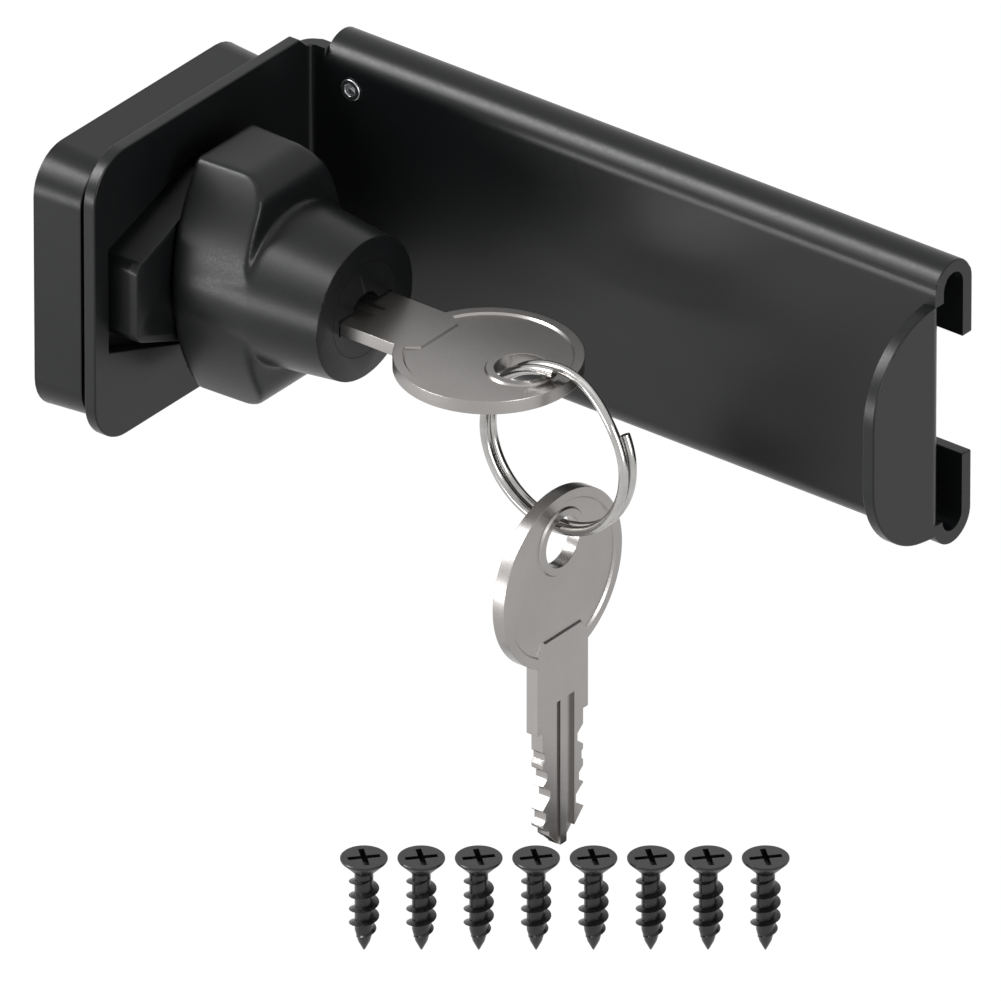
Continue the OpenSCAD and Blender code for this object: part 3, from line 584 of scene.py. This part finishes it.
route = [ring_point(i * step_deg) for i in range(int(wire_end / step_deg) + 1)]
data = bpy.data.curves.new("key_ring_route", "CURVE")
data.dimensions = "3D"
data.bevel_depth = wire_r * MM
data.bevel_resolution = 6
data.use_fill_caps = True
spline = data.splines.new("POLY")
spline.points.add(len(route) - 1)
for point, place in zip(spline.points, route):
    point.co = (*place, 1)
ring = bpy.data.objects.new("key_ring", data)
bpy.context.collection.objects.link(ring)
only(ring)
bpy.ops.object.convert(target="MESH")
ring = bpy.context.object
ring.name = "key_ring"
shade(ring, 50)
finish_piece(ring, wire_nickel, "ring", "nickel_wire", "split_ring")

# %% [markdown]
# The screws have a flat countersunk head with a cross recess, a thin core and a coarse rolled
# thread that runs out at the tip. A cylinder is extruded and scaled in edit mode, upwards for
# the head and downwards for the tip. The cross is cut by two crossed blocks.

# %% One screw, core and head
head_r, head_t, core_r, length, tip_l = 2.9, 2.1, 1.15, 13.0, 3.0
under_r = head_r - 0.05
head_steps = [(1.75, under_r / core_r), (0.12, head_r / under_r), (0.16, 1.0), (0.07, 0.975)]
tip_steps = [(1.6, 0.66), (1.1, 0.28), (0.3, 0.1)]
cross_half, cross_half_w, cross_d = 2.0, 0.36, 1.0

bpy.ops.object.select_all(action="DESELECT")
bpy.ops.mesh.primitive_cylinder_add(vertices=48, radius=core_r * MM,
                                    depth=(length - tip_l - head_t) * MM,
                                    location=(0, 0, -(length - tip_l + head_t) / 2 * MM))
screw = settled("screw_pattern")


def grow(obj, side, steps):
    """Extrudes the end face on that side, step by step, each by a height and a radius factor."""
    only(obj)
    bpy.ops.object.mode_set(mode="EDIT")
    bpy.ops.mesh.select_mode(type="FACE")
    bpy.ops.mesh.select_all(action="DESELECT")
    bpy.ops.object.mode_set(mode="OBJECT")
    for face in obj.data.polygons:
        face.select = face.normal.z * side > 0.9
    bpy.ops.object.mode_set(mode="EDIT")
    for rise, factor in steps:
        bpy.ops.mesh.extrude_region_move(TRANSFORM_OT_translate={"value": (0, 0, side * rise * MM)})
        bpy.ops.transform.resize(value=(factor, factor, 1))
    bpy.ops.object.mode_set(mode="OBJECT")


grow(screw, 1, head_steps)
grow(screw, -1, tip_steps)
for turn_deg in (0, 90):
    slot_cut = block("cross_cut", (-cross_half, -cross_half_w, -cross_d),
                     (cross_half, cross_half_w, cross_d))
    slot_cut.data.transform(Matrix.Rotation(math.radians(turn_deg), 4, "Z"))
    combine(screw, slot_cut, "DIFFERENCE")
print("screw body", len(screw.data.polygons), "faces")

# %% [markdown]
# The thread is a diamond-shaped wire section carried round and up by a Screw modifier. Its
# inner corner lies inside the core, so the two overlap without a gap. Then it is drawn in at
# both ends, as rolling leaves it: almost fully at the tip, and by over a third under the head.

# %% One screw, thread
pitch, turns, crest_r, flatness = 1.9, 5, 1.86, 0.68
root_in, waist_in = 0.25, 0.02
start_z = -length + 1.1
tip_run, tip_least = 3.4, 0.12
top_from, top_run, top_least = 9.6, 2.2, 0.62

bpy.ops.object.select_all(action="DESELECT")
bpy.ops.mesh.primitive_circle_add(vertices=4, radius=0.5 * MM, fill_type="NOTHING",
                                  location=(core_r * MM, 0, start_z * MM),
                                  rotation=(math.pi / 2, 0, 0))
thread = settled("thread")
for v in thread.data.vertices:
    out = v.co.x / MM - core_r
    v.co.x = (core_r - root_in if out < -0.1 else crest_r if out > 0.1 else core_r - waist_in) * MM
    v.co.z = start_z * MM + (v.co.z - start_z * MM) * flatness
apply(thread, "SCREW", axis="Z", angle=2 * math.pi, screw_offset=pitch * MM, iterations=turns,
      steps=24, render_steps=24, use_merge_vertices=False, use_smooth_shade=True)
only(thread)
bpy.ops.object.mode_set(mode="EDIT")
bpy.ops.mesh.select_mode(type="EDGE")
bpy.ops.mesh.select_all(action="DESELECT")
bpy.ops.mesh.select_non_manifold()
bpy.ops.mesh.edge_face_add()
bpy.ops.mesh.select_all(action="SELECT")
bpy.ops.mesh.normals_make_consistent(inside=False)
bpy.ops.object.mode_set(mode="OBJECT")
for v in thread.data.vertices:
    height = v.co.z / MM + length
    taper = min(1.0, max(tip_least, (height - 0.2) / tip_run))
    if height > top_from:
        taper = max(top_least, 1 - (height - top_from) / top_run)
    v.co.x *= taper
    v.co.y *= taper
bpy.ops.object.select_all(action="DESELECT")
thread.select_set(True)
screw.select_set(True)
bpy.context.view_layer.objects.active = screw
bpy.ops.object.join()
shade(screw, 38)
print("screw with thread", len(screw.data.polygons), "faces")

# %% [markdown]
# Eight equal screws stand in a row below the latch, as a set laid out for counting. The row
# runs along the picture, so each step goes 38 degrees round from the X axis.

# %% Row of screws
row_x, row_y, row_z = 45.43, -13.94, -66.2
row_dx, row_dy = 0.788 * 6.94, 0.616 * 6.94
cross_turn = Matrix.Rotation(math.radians(49.0), 4, "Z")
for i in range(8):
    one = bpy.data.objects.new(f"wood_screw_{i + 1}", screw.data.copy())
    bpy.context.collection.objects.link(one)
    spot = Vector((row_x + row_dx * i, row_y + row_dy * i, row_z)) * MM
    one.data.transform(Matrix.Translation(spot) @ cross_turn)
    finish_piece(one, black_oxide, "base", "black_screw", "screws")
bpy.data.objects.remove(screw)

# %% [markdown]
# The remaining pieces already have the right shape. They keep their construction mesh and get
# their own finish.

# %% Pieces that stay as they are
kept = {"slide_rail": zinc_plate, "thrust_washer": washer_nylon,
        "retaining_washer": zinc_plate, "retaining_screw": zinc_plate, "detent_ball": spring_steel,
        "detent_spring": spring_steel, "wafers": wafer_brass, "plug_clip": spring_steel,
        "lock_bolt": zinc_plate}
for node, material in kept.items():
    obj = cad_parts[node]
    if not obj.material_slots:
        obj.data.materials.append(material)
    for place in obj.material_slots:
        place.material = material
print("kept", sorted(kept))

# %% [markdown]
# The background is white to the camera and in reflections, but a plain grey light for all that
# is lit by it. So the object gets the same light whatever the background's colour is.

# %% World
def seen_directly(tree):
    """One where a camera, glossy or transmission ray looks, zero for light that only fills."""
    rays = add_node(tree, "ShaderNodeLightPath").outputs
    seen = {0: rays["Is Camera Ray"], 1: rays["Is Glossy Ray"]}
    seen = add_node(tree, "ShaderNodeMath", seen, operation="MAXIMUM").outputs[0]
    seen = {0: seen, 1: rays["Is Transmission Ray"]}
    return add_node(tree, "ShaderNodeMath", seen, operation="MAXIMUM").outputs[0]


world = bpy.data.worlds.new("studio")
bpy.context.scene.world = world
world.use_nodes = True
tree = world.node_tree
tree.nodes.clear()
fill = add_node(tree, "ShaderNodeBackground", Color=(0.25, 0.25, 0.26, 1), Strength=1.0)
white = add_node(tree, "ShaderNodeBackground", Color=(1, 1, 1, 1), Strength=1.0)
shown = {0: seen_directly(tree), 1: fill.outputs[0], 2: white.outputs[0]}
mix = add_node(tree, "ShaderNodeMixShader", shown)
add_node(tree, "ShaderNodeOutputWorld", {"Surface": mix.outputs[0]})
print("world", len(tree.nodes), "nodes")

# %% [markdown]
# The floor is white paper far below the latch. Nine tenths of what the camera sees of it is a
# plain white glow, and one tenth is lit paper, which still takes a soft shadow.

# %% Floor
ground_z, glow_share, glow_level = -0.17, 0.9, 1.05
bpy.ops.object.select_all(action="DESELECT")
bpy.ops.mesh.primitive_plane_add(size=6.0, location=(0.05, 0, ground_z))
floor = bpy.context.object
floor.name = "floor"
paper = bpy.data.materials.new("White studio paper")
paper.use_nodes = True
tree = paper.node_tree
tree.nodes.clear()
matt = add_node(tree, "ShaderNodeBsdfDiffuse", Color=(0.9, 0.9, 0.9, 1))
glow = add_node(tree, "ShaderNodeEmission", Color=(1, 1, 1, 1), Strength=glow_level)
share = add_node(tree, "ShaderNodeMath", {0: seen_directly(tree)}, operation="MULTIPLY")
share.inputs[1].default_value = glow_share
shown = {0: share.outputs[0], 1: matt.outputs[0], 2: glow.outputs[0]}
mix = add_node(tree, "ShaderNodeMixShader", shown)
add_node(tree, "ShaderNodeOutputMaterial", {"Surface": mix.outputs[0]})
floor.data.materials.append(paper)
print("floor", paper.name)

# %% [markdown]
# The photograph has no vanishing: parallel edges stay parallel. A very long lens from far away
# gives that look, and it also frames the other views. It looks 38 degrees round and 30 down.

# %% Camera
azimuth, elevation = math.radians(38.0), math.radians(29.67)
look_at = Vector((55.5, 0.0, -19.3)) * MM
back = Vector((math.sin(azimuth) * math.cos(elevation), -math.cos(azimuth) * math.cos(elevation),
               math.sin(elevation)))
lens, sensor, frame_width = 1500.0, 36.0, 120.6 * MM
camera = bpy.data.objects.new("camera", bpy.data.cameras.new("camera"))
bpy.context.collection.objects.link(camera)
camera.data.lens = lens
camera.data.sensor_width = sensor
camera.data.clip_start, camera.data.clip_end = 0.5, 30.0
camera.location = look_at + back * (frame_width / 2 / (sensor / 2 / lens))
camera.rotation_euler = (-back).to_track_quat("-Z", "Y").to_euler()
bpy.context.scene.camera = camera
print("camera", [round(c, 3) for c in camera.location])

# %% [markdown]
# Black satin metal is drawn by what it mirrors. A weak wide lamp above adds a little to the
# tops, two from the left, one high and one low, draw the flanks, and one on the right lights
# the web and the ends. Places and sizes are in metres here, as the lamps stand well away.

# %% Lamps
middle = Vector((0.055, 0.0, -0.01))


def lamp(name, place, size, watts):
    """An oblong lamp at its place, aimed at the middle of the latch."""
    obj = bpy.data.objects.new(name, bpy.data.lights.new(name, "AREA"))
    bpy.context.collection.objects.link(obj)
    obj.data.shape = "RECTANGLE"
    obj.data.size, obj.data.size_y = size
    obj.data.energy = watts
    obj.location = place
    obj.rotation_euler = (middle - Vector(place)).to_track_quat("-Z", "Y").to_euler()
    print(name, watts, "W")


lamp("top_box", (0.1, -0.05, 0.6), (0.5, 0.35), 0.3)
lamp("left_box", (-0.38, -0.36, 0.46), (0.18, 0.4), 4.8)
lamp("low_box", (-0.3, -0.6, -0.12), (0.4, 0.15), 2.2)
lamp("right_box", (0.7, -0.2, 0.15), (0.25, 0.5), 3.2)

# %% [markdown]
# Last comes the view setting, which shows colours as they are written.

# %% View setting and end
bpy.context.scene.view_settings.view_transform = "Standard"
